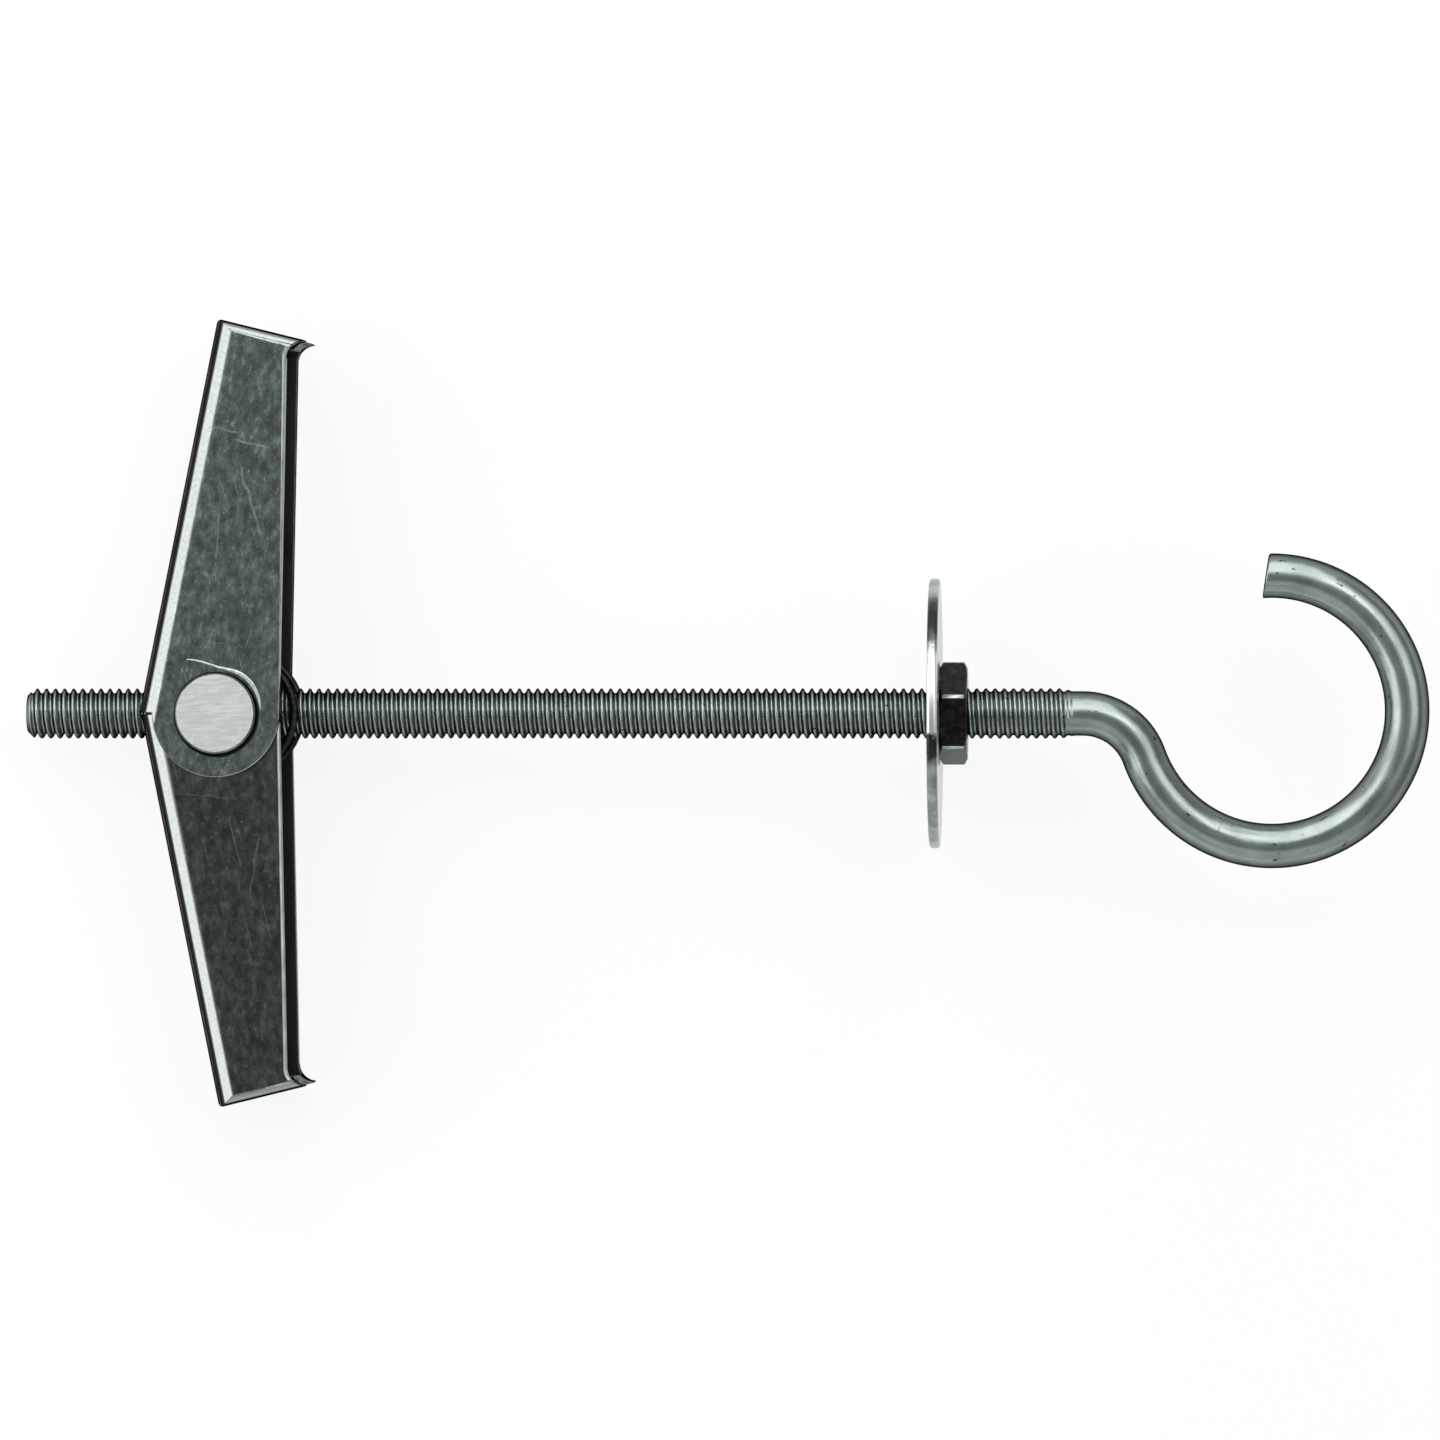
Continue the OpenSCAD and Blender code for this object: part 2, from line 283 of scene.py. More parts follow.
def stretched(material, source, scale, turn=0.0):
    """Coordinates scaled so that a pattern is drawn out, after a turn about Z in degrees."""
    made = node(material, "ShaderNodeMapping", vector_type="TEXTURE")
    made.inputs["Rotation"].default_value = (0, 0, math.radians(turn))
    made.inputs["Scale"].default_value = scale
    link(material, source, made.inputs["Vector"])
    return made.outputs["Vector"]


def graded(material, source, low, high, out_low=0.0, out_high=1.0):
    """Maps low..high of a value to out_low..out_high, and holds it outside."""
    made = node(material, "ShaderNodeMapRange", clamp=True)
    levels = {"From Min": low, "From Max": high, "To Min": out_low, "To Max": out_high}
    for key, value in levels.items():
        made.inputs[key].default_value = value
    link(material, source, made.inputs["Value"])
    return made.outputs["Result"]


def blended(material, share, first, second):
    """Mixes two colours or colour sockets by a value socket."""
    made = node(material, "ShaderNodeMix", data_type="RGBA")
    link(material, share, made.inputs[0])
    for socket, value in ((made.inputs[6], first), (made.inputs[7], second)):
        if isinstance(value, bpy.types.NodeSocket):
            link(material, value, socket)
        else:
            socket.default_value = (*value, 1)
    return made.outputs[2]


def raised(material, height, distance, under=None):
    """Bump from a height socket. Distance is the real height in metres."""
    made = node(material, "ShaderNodeBump", Strength=1.0, Distance=distance)
    link(material, height, made.inputs["Height"])
    if under is not None:
        link(material, under, made.inputs["Normal"])
    return made.outputs["Normal"]


def wire_zinc():
    """Zinc plating on drawn wire, under a dull passivate film: clouds of two tones, faint streaks
    along the wire, a few pits, and another tone in the thread's roots."""
    material, shader = plated_metal("wire_zinc", wire_tones[0], 0.27, (0, 0, 0), wire_film_tone)
    lay = node(material, "ShaderNodeAttribute", attribute_name="lay").outputs["Vector"]
    crest = node(material, "ShaderNodeAttribute", attribute_name="crest").outputs["Fac"]
    clouds = blotches(material, lay, 2.2 * MM)
    drawn = blotches(material, stretched(material, lay, (14, 1, 1)), 0.36 * MM, detail=4)
    pits = blotches(material, stretched(material, lay, (1.6, 1, 1)), 0.45 * MM, detail=1)
    tone = blended(material, graded(material, clouds, 0.35, 0.65), *wire_tones)
    tone = blended(material, graded(material, drawn, 0.54, 0.70, 0, 0.6), tone, streak_tone)
    tone = blended(material, graded(material, pits, 0.71, 0.76, 0, 0.85), tone, pit_tone)
    tone = blended(material, graded(material, crest, 0.0, 0.5), root_tone, tone)
    link(material, tone, shader.inputs["Base Color"])
    link(material, graded(material, drawn, 0.3, 0.7, 0.22, 0.34), shader.inputs["Roughness"])
    normal = raised(material, drawn, 0.004 * MM)
    link(material, raised(material, clouds, 0.03 * MM, under=normal), shader.inputs["Normal"])
    return material


hook_rod = hook_rod_wire()
hook_rod.data.materials.append(wire_zinc())
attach(hook_rod, "hook_rod")
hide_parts("hook_rod")


# ---------------------------------------------------------------------------------------------
# Trunnion nut. A turned steel pin through all four ears, tapped across its middle for the rod.
# Its ends stand a little out of the wings and show the cut-off tool's fine marks.
# ---------------------------------------------------------------------------------------------

trunnion_low, trunnion_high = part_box("trunnion_nut")
pivot_x = (trunnion_low.x + trunnion_high.x) / 2
trunnion_edges = 0.05 * MM
sharp_angle = math.radians(32)
flat_angle = math.radians(1)
turned_tones = ((0.54, 0.565, 0.555), (0.68, 0.70, 0.69))
turned_cross_tone = (0.50, 0.53, 0.52)
turned_cloud_tone = (0.57, 0.60, 0.59)
# Painted shade: dark tones for the pin's side and the chamfers round its ends.
pin_side_shade_tones = ((0.10, 0.106, 0.104), (0.17, 0.18, 0.176))


def ease_edges(body, width):
    """Rounds the sharp edges of a CAD solid by width, as tumbling and plating leave them. The
    stored shading goes, since it knows nothing of the new edges."""
    mesh = body.data
    if "custom_normal" in mesh.attributes:
        mesh.attributes.remove(mesh.attributes["custom_normal"])
    for face in mesh.polygons:
        face.use_smooth = True
    joined = body.modifiers.new("join_faces", "WELD")
    joined.merge_threshold = weld
    flat = body.modifiers.new("flat_faces", "DECIMATE")
    flat.decimate_type = "DISSOLVE"
    flat.angle_limit = flat_angle
    eased = body.modifiers.new("eased_edges", "BEVEL")
    eased.width = width
    eased.segments = 3
    eased.limit_method = "ANGLE"
    eased.angle_limit = sharp_angle
    eased.use_clamp_overlap = False


def shade_evenly(piece):
    """Keeps large faces flat in shading, right up to their eased edges."""
    even = piece.modifiers.new("even_shading", "WEIGHTED_NORMAL")
    even.weight = 50
    even.keep_sharp = False


def turned_steel():
    """Bare-looking turned face: pale and dull, with fine tool marks across it."""
    material, shader = plated_metal("turned_steel", (0.62, 0.64, 0.63), 0.5, (0.3, 0.3, 0.3))
    place = node(material, "ShaderNodeTexCoord").outputs["Object"]
    marks = blotches(material, stretched(material, place, (9, 1, 1), 3), 0.16 * MM, detail=2)
    cross = blotches(material, stretched(material, place, (1, 7, 1)), 0.2 * MM, detail=2)
    clouds = blotches(material, place, 1.6 * MM)
    tone = blended(material, graded(material, marks, 0.4, 0.62), *turned_tones)
    tone = blended(material, graded(material, cross, 0.5, 0.7, 0, 0.5), tone, turned_cross_tone)
    tone = blended(material, graded(material, clouds, 0.4, 0.7, 0, 0.4), tone, turned_cloud_tone)
    link(material, tone, shader.inputs["Base Color"])
    link(material, raised(material, marks, 0.006 * MM), shader.inputs["Normal"])
    return material


def pin_side_shade():
    """Smooth plating on the pin's side and on the chamfers of its ends, painted dark as the shade
    of the gap round each end.
    """
    material, shader = plated_metal("pin_side_shade", (0.13, 0.137, 0.135), 0.25, (0, 0, 0))
    place = node(material, "ShaderNodeTexCoord").outputs["Object"]
    marks = blotches(material, place, 0.5 * MM)
    tone = blended(material, graded(material, marks, 0.35, 0.65), *pin_side_shade_tones)
    link(material, tone, shader.inputs["Base Color"])
    return material


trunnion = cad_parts["trunnion_nut"]
ease_edges(trunnion, trunnion_edges)
shade_evenly(trunnion)
trunnion.data.materials.clear()
trunnion.data.materials.append(turned_steel())
trunnion.data.materials.append(pin_side_shade())
# All faces but the ends get the dark material, painted as the shade round the pin's ends.
for face in trunnion.data.polygons:
    is_end = abs(face.normal.z) > 0.98
    face.material_index = 0 if is_end else 1


# ---------------------------------------------------------------------------------------------
# Wings. Two like troughs pressed from 0.9 mm steel sheet and zinc plated, the left one turned
# over so that its ears nest beside the right one's. The punch rolls the edges of each flange over
# on its outer side, where the barrel rubs them bright, and a painted highlight brightens them more.
# Just below each bend a nearly black band is painted as a dark reflection, and the webs and
# insides are painted darker as shade.
# ---------------------------------------------------------------------------------------------

# The flanges' edges are rolled over from ear_reach outwards, measured from the pin's axis. Points
# within hole_reach of it are the rims of the holes, and are drawn in by hole_swell.
roll_width = 0.28 * MM
roll_depth = 0.1 * MM
other_edges = 0.06 * MM
ear_reach = 6.5 * MM
hole_reach = 3.35 * MM
hole_swell = 0.09 * MM
sliver = 0.001 * MM
burr_steps = 5
# Where the crescent of painted shadow beside the pin lies: its reach from a centre set off the
# pin's axis by the shift.
pin_shadow_reach = 3.3 * MM
pin_shadow_shift = 0.1 * MM

# How the wing's faces are told apart: by the Z of their normals, their level and their area.
flat_normal = 0.99
cut_normal = 0.1
web_normal = 0.01
web_area = 20 * MM * MM
on_level = 0.01 * MM

# Depths below a wing's outer faces between which one tone goes over into the next.
face_depths = (0.06 * MM, 0.01 * MM)
# Where the nearly black band below each bend, a painted dark reflection, begins.
flank_dark_reflection_depths = (0.30 * MM, 0.42 * MM)
# Where the painted shade of the webs and the insides between the flanges begins.
inner_shade_depths = (0.68 * MM, 0.86 * MM)

film_share = 0.7
wing_film_tone = (film_share, film_share, film_share)
filmless_edge_tint = (0.7, 0.7, 0.7)
bend_tone = (0.52, 0.555, 0.543)
# Painted dark reflection: the nearly black band just below each bend.
flank_dark_reflection_tone = (0.05, 0.052, 0.05)
# Painted shade: tones for the webs and the insides between the flanges.
inner_shade_tones = ((0.25, 0.275, 0.265), (0.40, 0.435, 0.42))
# Painted shadow: the dark crescent in the gap beside the pin.
pin_shadow_tone = (0.02, 0.022, 0.021)
# Plating worn bright on edges and burrs, brightened further as a painted highlight.
rubbed_highlight_tones = ((0.38, 0.42, 0.405), (0.62, 0.66, 0.645))

# The longer scratches waver a little. Each has its start and end, in millimetres from the pin, and
# its width.
scratch_waver = 0.5 * MM
right_scratches = (
    ((1.7, 19.4), (3.6, 13.0), 0.13 * MM),
    ((1.3, 20.9), (4.4, 20.1), 0.10 * MM),
    ((-0.6, 21.8), (2.2, 21.3), 0.10 * MM),
    ((0.2, 15.6), (0.1, 11.0), 0.07 * MM),
)
left_scratches = (((-3.4, -6.1), (1.8, -6.5), 0.08 * MM), ((3.3, -9.0), (2.4, -14.5), 0.08 * MM))

# The left wing's tones are set at about half the right wing's, though the wings are alike.
# For each wing: its pale and dark tones, the turn of its grain in degrees, and its scratches.
wing_looks = {
    "right_wing": ((0.56, 0.64, 0.615), (0.33, 0.375, 0.36), -6, right_scratches),
    "left_wing": ((0.28, 0.292, 0.278), (0.165, 0.173, 0.163), 8, left_scratches),
}
wing_sides = {}
for side in wing_looks:
    wing_low, wing_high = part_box(side)
    wing_sides[side] = (wing_low.z, wing_high.z)


def cad_form(name):
    """A CAD solid's shape to work on, with each flat face in one piece."""
    work = bmesh.new()
    work.from_mesh(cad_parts[name].data)
    bmesh.ops.remove_doubles(work, verts=work.verts, dist=weld)
    bmesh.ops.dissolve_limit(work, angle_limit=flat_angle, verts=work.verts, edges=work.edges)
    bmesh.ops.dissolve_degenerate(work, dist=sliver, edges=work.edges)
    work.normal_update()
    return work


def pressed_wing(side):
    """The wing's CAD shape with the flanges' edges rolled over and all other edges eased. Faces of
    the rolled edge have the second material, and the flat faces of flanges and web the third. The
    punch leaves the pin's holes a close fit."""
    bottom, top = wing_sides[side]
    work = cad_form(side)

    def flat_side(face):
        """+1 or -1 for the outer face of the upper or lower flange, and 0 for any other face."""
        z = face.calc_center_median().z
        if face.normal.z > flat_normal and abs(z - top) < on_level:
            return 1
        return -1 if face.normal.z < -flat_normal and abs(z - bottom) < on_level else 0

    rolled, eased = [], []
    for edge in work.edges:
        if len(edge.link_faces) != 2:
            continue
        one, two = edge.link_faces
        if one.normal.angle(two.normal, 0) < sharp_angle:
            continue
        cut = two if flat_side(one) else one
        outside = flat_side(one) or flat_side(two)
        reach = max((v.co.xy - Vector((pivot_x, 0))).length for v in edge.verts)
        if outside and abs(cut.normal.z) < cut_normal and reach > ear_reach:
            rolled.append(edge)
        else:
            eased.append(edge)
    shared = {"affect": "EDGES", "loop_slide": False}
    made = bmesh.ops.bevel(work, geom=rolled, offset=roll_width, segments=1, material=1, **shared)
    for v in {v for f in made["faces"] for v in f.verts}:
        for level, out in ((top, 1), (bottom, -1)):
            if abs(v.co.z - (level - out * roll_width)) < 2 * on_level:
                v.co.z = level - out * roll_depth
    eased = [e for e in eased if e.is_valid]
    bmesh.ops.bevel(work, geom=eased, offset=other_edges, segments=2, **shared)
    # The easing leaves a hair-thin crack at one corner of the closed end, which is filled here.
    bmesh.ops.holes_fill(work, edges=[e for e in work.edges if e.is_boundary], sides=6)
    bmesh.ops.dissolve_degenerate(work, dist=sliver, edges=work.edges)
    for v in work.verts:
        out = v.co - Vector((pivot_x, 0, v.co.z))
        if out.length < hole_reach:
            v.co -= hole_swell * out.normalized()
    for face in work.faces:
        face.smooth = face.material_index == 0
        is_web = abs(face.normal.z) < web_normal and face.calc_area() > web_area
        if flat_side(face) or is_web:
            face.material_index = 2
    piece = finished(side + "_pressed", work)
    shade_evenly(piece)
    return piece


def wire_piece(name, points, radii, sides=14):
    """A round wire through the points, with the given radius at each."""
    work = bmesh.new()
    rings = []
    last = len(points) - 1
    tangents = [
        (points[min(i + 1, last)] - points[max(i - 1, 0)]).normalized() for i in range(last + 1)
    ]
    turns = [2 * math.pi * j / sides for j in range(sides)]
    across = tangents[0].orthogonal().normalized()
    for co, tangent, radius in zip(points, tangents, radii):
        across = (across - across.dot(tangent) * tangent).normalized()
        other = tangent.cross(across)
        ring = [co + radius * (math.cos(t) * across + math.sin(t) * other) for t in turns]
        rings.append([work.verts.new(point) for point in ring])
    for a, b in zip(rings, rings[1:]):
        for j in range(sides):
            k = (j + 1) % sides
            work.faces.new((a[j], b[j], b[k], a[k])).smooth = True
    work.faces.new(rings[0])
    work.faces.new(rings[-1])
    bmesh.ops.recalc_face_normals(work, faces=work.faces)
    return finished(name, work)


def reckoned(material, operation, *values):
    """The result of a calculation on numbers and value sockets."""
    made = node(material, "ShaderNodeMath", operation=operation)
    for socket, value in zip(made.inputs, values):
        if isinstance(value, bpy.types.NodeSocket):
            link(material, value, socket)
        else:
            socket.default_value = value
    return made.outputs[0]


def along_axes(material, vector):
    """The X, Y and Z parts of a vector socket, by name."""
    made = node(material, "ShaderNodeSeparateXYZ")
    link(material, vector, made.inputs[0])
    return made.outputs


def distance_from(material, place, centre, across):
    """Distance from centre, measured only along the axes for which across holds 1."""
    projected = node(material, "ShaderNodeVectorMath", operation="MULTIPLY")
    link(material, place, projected.inputs[0])
    projected.inputs[1].default_value = across
    made = node(material, "ShaderNodeVectorMath", operation="DISTANCE")
    link(material, projected.outputs[0], made.inputs[0])
    made.inputs[1].default_value = centre
    return made.outputs["Value"]


def scratch_line(material, place, start, end, width):
    """A single scratch from start to end, in millimetres from the pin. Returns its strength."""
    run = Vector(end) - Vector(start)
    shifted = node(material, "ShaderNodeMapping", vector_type="TEXTURE")
    shifted.inputs["Location"].default_value = (pivot_x + start[0] * MM, start[1] * MM, 0)
    shifted.inputs["Rotation"].default_value = (0, 0, math.atan2(run.y, run.x))
    link(material, place, shifted.inputs["Vector"])
    on_line = along_axes(material, shifted.outputs["Vector"])
    waver = blotches(material, place, 1.5 * MM, detail=1)
    sideways = reckoned(material, "MULTIPLY_ADD", waver, scratch_waver, on_line["Y"])
    sideways = reckoned(material, "SUBTRACT", sideways, scratch_waver / 2)
    share = reckoned(material, "ABSOLUTE", sideways)
    share = graded(material, share, 0.3 * width, width, 1, 0)
    length = run.length * MM
    for low, high in ((0, 0.15 * length), (length, 0.8 * length)):
        tapered = graded(material, on_line["X"], low, high)
        share = reckoned(material, "MULTIPLY", share, tapered)
    patchy = graded(material, blotches(material, place, 0.5 * MM), 0.35, 0.6, 0.3, 0.8)
    return reckoned(material, "MULTIPLY", share, patchy)


def pressed_zinc(name, pale, dark, grain_turn, bottom, top, scratches, film=None):
    """Zinc plating on pressed sheet: mottled flat faces with fine grain and a few stray scratches,
    and smooth bends. Bottom and top are the heights of its outer faces. Just below each bend a
    nearly black band is painted as a dark reflection, and the webs and insides between the flanges
    are painted darker as shade. A crescent of painted shadow lies at one side of the pin."""
    edge_tint = (0, 0, 0) if film else filmless_edge_tint
    material, shader = plated_metal(name, pale, 0.2, edge_tint, film)

    def lighter(tone, times):
        return [min(1, times * c) for c in tone]

    place = node(material, "ShaderNodeTexCoord").outputs["Object"]
    clouds = blotches(material, place, 2.4 * MM, detail=5, roughness=0.65)
    grain = stretched(material, place, (1, 1.8, 1), grain_turn)
    mottle = blotches(material, grain, 0.6 * MM, detail=4, roughness=0.7)
    specks = blotches(material, place, 0.26 * MM, detail=3, roughness=0.7)
    tone = blended(material, graded(material, clouds, 0.38, 0.62), dark, pale)
    for pattern, low, high, most, spot_tone in (
        (mottle, 0.44, 0.64, 0.8, lighter(dark, 0.52)),
        (mottle, 0.43, 0.33, 0.7, lighter(pale, 1.5)),
        (specks, 0.60, 0.74, 0.7, lighter(pale, 1.9)),
    ):
        tone = blended(material, graded(material, pattern, low, high, 0, most), tone, spot_tone)
    for turn, size, rarity in ((14, 0.13 * MM, 0.83), (-21, 0.10 * MM, 0.84)):
        scratch = blotches(material, stretched(material, place, (1, 50, 1), turn), size, detail=0)
        share = graded(material, scratch, rarity, rarity + 0.03, 0, 0.6)
        tone = blended(material, share, tone, lighter(pale, 2.4))
    for start, end, width in scratches:
        share = scratch_line(material, place, start, end, width)
        tone = blended(material, share, tone, lighter(pale, 1.7))
    height = along_axes(material, place)["Z"]
    from_middle = reckoned(material, "SUBTRACT", height, (bottom + top) / 2)
    outward = reckoned(material, "ABSOLUTE", from_middle)
    depth = reckoned(material, "SUBTRACT", (top - bottom) / 2, outward)
    flat = graded(material, depth, *face_depths)
    spotted = graded(material, specks, 0.45, 0.7)
    bend = blended(material, spotted, bend_tone, lighter(bend_tone, 0.8))
    tone = blended(material, flat, bend, tone)
    # A nearly black band from about 0.4 to 0.7 mm below the outer faces, painted as the bends' dark
    # reflection.
    tone = blended(material, graded(material, depth, *flank_dark_reflection_depths), tone, flank_dark_reflection_tone)
    # The webs and the insides between the flanges are painted darker as shade.
    inner_shade = [lighter(t, 1 if film else film_share) for t in inner_shade_tones]
    inner_shade = blended(material, graded(material, clouds, 0.4, 0.6), *inner_shade)
    tone = blended(material, graded(material, depth, *inner_shade_depths), tone, inner_shade)
    # A crescent of painted shadow beside the pin, where the gap round it is in shade.
    pin_shadow_centre = (pivot_x + pin_shadow_shift, -pin_shadow_shift, 0)
    from_pin = distance_from(material, place, pin_shadow_centre, (1, 1, 0))
    in_pin_shadow = graded(material, from_pin, pin_shadow_reach, pin_shadow_reach - 0.1 * MM)
    tone = blended(material, in_pin_shadow, tone, pin_shadow_tone)
    link(material, tone, shader.inputs["Base Color"])
    link(material, graded(material, clouds, 0.3, 0.7, 0.24, 0.16), shader.inputs["Roughness"])
    fine_grain = reckoned(material, "MULTIPLY", mottle, flat)
    link(material, raised(material, fine_grain, 0.005 * MM), shader.inputs["Normal"])
    return material


def rubbed_highlight_zinc():
    """Bright plating where edges and burrs are worn by rubbing, uneven along its length; part of
    its brightness is a painted highlight along those edges.
    """
    material, shader = plated_metal("rubbed_highlight_zinc", (0.5, 0.54, 0.525), 0.42, (0.5, 0.5, 0.5))
    place = node(material, "ShaderNodeTexCoord").outputs["Object"]
    drawn_out = stretched(material, place, (1, 4, 1))
    marks = blotches(material, drawn_out, 0.35 * MM, detail=4, roughness=0.65)
    tone = blended(material, graded(material, marks, 0.35, 0.65), *rubbed_highlight_tones)
    link(material, tone, shader.inputs["Base Color"])
    link(material, raised(material, marks, 0.004 * MM), shader.inputs["Normal"])
    return material


rubbed_and_highlight = rubbed_highlight_zinc()
for side, (pale, dark, grain_turn, scratches) in wing_looks.items():
    wing = pressed_wing(side)
    shared = (grain_turn, *wing_sides[side], scratches)
    filmless = [[film_share * c for c in tone] for tone in (pale, dark)]
    wing.data.materials.append(pressed_zinc(side + "_zinc", pale, dark, *shared, wing_film_tone))
    wing.data.materials.append(rubbed_and_highlight)
    wing.data.materials.append(pressed_zinc(side + "_face_zinc", *filmless, *shared))
    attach(wing, side)
    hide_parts(side)

# The punch has left a burr on the right wing's hole: a low lip that curls away at one end. Its
# points are (angle round the pin in degrees, distance from the pin's axis, half thickness).
lip = [(4, 3.46, 0.03), (20, 3.52, 0.12), (40, 3.58, 0.19), (58, 3.56, 0.19), (74, 3.47, 0.13)]
curl = [(86, 3.50, 0.09), (97, 3.76, 0.08), (106, 4.10, 0.08), (113, 4.42, 0.07), (119, 4.70, 0.03)]
burr_flatness = 0.5
flange_top = wing_sides["right_wing"][1]
burr_points, burr_radii = [], []
for (a0, r0, t0), (a1, r1, t1) in zip((lip + curl)[:-1], (lip + curl)[1:]):
    for k in range(burr_steps):
        f = k / burr_steps
        a, r = math.radians(a0 + (a1 - a0) * f), (r0 + (r1 - r0) * f) * MM
        burr_points.append(Vector((pivot_x + r * math.cos(a), r * math.sin(a), flange_top)))
        burr_radii.append((t0 + (t1 - t0) * f) * MM)
burr = wire_piece("hole_burr", burr_points, burr_radii, sides=12)
for vertex in burr.data.vertices:
    vertex.co.z = flange_top + burr_flatness * (vertex.co.z - flange_top)
burr.data.materials.append(rubbed_and_highlight)
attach(burr, "right_wing")


# ---------------------------------------------------------------------------------------------
# Spring. Hard-drawn wire wound into two coils round the trunnion, one each side of the rod, and
# joined by a bridge that passes under the rod. A straight leg inside each web pushes its wing
# open.
# ---------------------------------------------------------------------------------------------

spring_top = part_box("wing_spring")[1].z
spring_r = 0.3 * MM
coil_r = 4.6 * MM
coil_shift = 1.15 * MM
coil_in_z = crest_r + 0.34 * MM
coil_out_z = spring_top - spring_r
coil_step = math.radians(7.5)
leg_steps = 12
bend_steps = 6
leg_lean = math.radians(5.87)
leg_l = 12.6 * MM
bridge_r = 0.7 * MM
bridge_half = math.asin(bridge_r / coil_r)
# Near-black tones: the wire's own dark colour, darkened further as painted shade inside the wings.
spring_dark_and_shade_tones = ((0.018, 0.018, 0.018), (0.045, 0.043, 0.043))


def on_coil(angle, z):
    """A point on the middle of the coiled wire."""
    x, y = pivot_x + coil_shift + coil_r * math.cos(angle), coil_r * math.sin(angle)
    return Vector((x, y, z))


def coil_run(first, last, from_angle, to_angle, z_at):
    """Points along a coil from angle first to angle last. The whole coil runs from from_angle to
    to_angle, and climbs from the first to the second height of z_at."""
    steps = math.ceil(abs(last - first) / coil_step)
    points = []
    for i in range(steps + 1):
        angle = first + (last - first) * i / steps
        climbed = (z_at[1] - z_at[0]) * (angle - from_angle) / (to_angle - from_angle)
        points.append(on_coil(angle, z_at[0] + climbed))
    return points


def leg(side):
    """Points along the straight leg, from its tip to the coil."""
    root = on_coil(math.pi - side * leg_lean, side * coil_out_z)
    tip = root + leg_l * Vector((math.sin(leg_lean), side * math.cos(leg_lean), 0))
    return [tip + (root - tip) * k / leg_steps for k in range(leg_steps)]


def bridge():
    """Points along the bend down from the near coil and the bend out to the far coil."""
    y = -coil_r * math.cos(bridge_half)
    points = []
    for side in (1, -1):
        for i in range(1, bend_steps):
            f = quarter * i / bend_steps
            f = f if side > 0 else quarter - f
            x = pivot_x + coil_shift - side * bridge_r * (1 - math.sin(f))
            points.append(Vector((x, y, side * (coil_in_z - bridge_r * (1 - math.cos(f))))))
    return points


def spring_steel():
    """Drawn spring wire, dark of its own and painted darker still as the shade inside the wings,
    with a thin oily sheen and fine drawing marks.
    """
    material, shader = plated_metal("spring_steel", (0.03, 0.03, 0.03), 0.3, (0.1, 0.1, 0.1))
    place = node(material, "ShaderNodeTexCoord").outputs["Object"]
    marks = blotches(material, place, 0.3 * MM, detail=4)
    tone = blended(material, graded(material, marks, 0.4, 0.65), *spring_dark_and_shade_tones)
    link(material, tone, shader.inputs["Base Color"])
    link(material, graded(material, marks, 0.3, 0.7, 0.28, 0.45), shader.inputs["Roughness"])
    link(material, raised(material, marks, 0.003 * MM), shader.inputs["Normal"])
    return material


# Both coils, from where their wire starts to where it ends: angles round the pin and heights.
near = (math.pi - leg_lean, 7 * quarter - bridge_half)
near_z = (coil_out_z, coil_in_z)
far = (3 * quarter + bridge_half, 6 * quarter + leg_lean)
far_z = (-coil_in_z, -coil_out_z)
near_start = coil_run(near[0], 3 * quarter, *near, near_z)
near_rest = coil_run(3 * quarter, near[1], *near, near_z)
far_start = coil_run(far[0], 5 * quarter, *far, far_z)
far_rest = coil_run(5 * quarter, far[1], *far, far_z)
right_points = leg(1) + near_start
middle_points = near_rest + bridge() + far_start
left_points = leg(-1) + far_rest[::-1]
right_leg = wire_piece("spring_leg_right", right_points, [spring_r] * len(right_points))
coils = wire_piece("spring_coils", middle_points, [spring_r] * len(middle_points))
left_leg = wire_piece("spring_leg_left", left_points, [spring_r] * len(left_points))
steel = spring_steel()
for piece in (right_leg, coils, left_leg):
    piece.data.materials.append(steel)
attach(coils, "toggle")
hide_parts("wing_spring")
for piece, wing_body, side in ((right_leg, "right_wing", 1), (left_leg, "left_wing", -1)):
    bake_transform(piece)


# ---------------------------------------------------------------------------------------------
# Washer. A large flat ring stamped from 0.8 mm sheet, with a rolled-over rim, zinc plated in a
# barrel. Light and shade are painted along its rim: a white reflection over one arc, with shadow
# and dark reflection beside it.
# ---------------------------------------------------------------------------------------------

washer_low, washer_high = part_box("washer")
washer_r = washer_high.z
washer_hole_r = 2.2 * MM
washer_facets = 160
round_steps = 5
rim_round = 0.27 * MM
hole_round = 0.12 * MM
rim_ragged = 1.6 * MM

# Painted light along the rim, at places along Y in millimetres: towards 0 painted shadow and dark
# reflection, towards 1 a painted white reflection; 0.5 leaves the rim's own tone.
rim_painted_light = [
    (-4.1, 0.5),
    (-3.2, 0.1),
    (-1.8, 0.1),
    (-1.2, 1),
    (4.2, 1),
    (5.5, 0.2),
    (7.0, 0.05),
    (8.3, 0.15),
    (9.4, 0.6),
]

washer_face_tones = ((0.46, 0.50, 0.485), (0.60, 0.645, 0.63))
washer_speck_tone = (0.26, 0.29, 0.28)
rim_tones = ((0.2, 0.23, 0.22), (0.36, 0.4, 0.39))
# Painted shadow and dark reflection on the rim, then a painted white reflection.
rim_painted_shadow_tone = (0.032, 0.036, 0.034)
rim_painted_reflection_tone = (0.72, 0.73, 0.72)


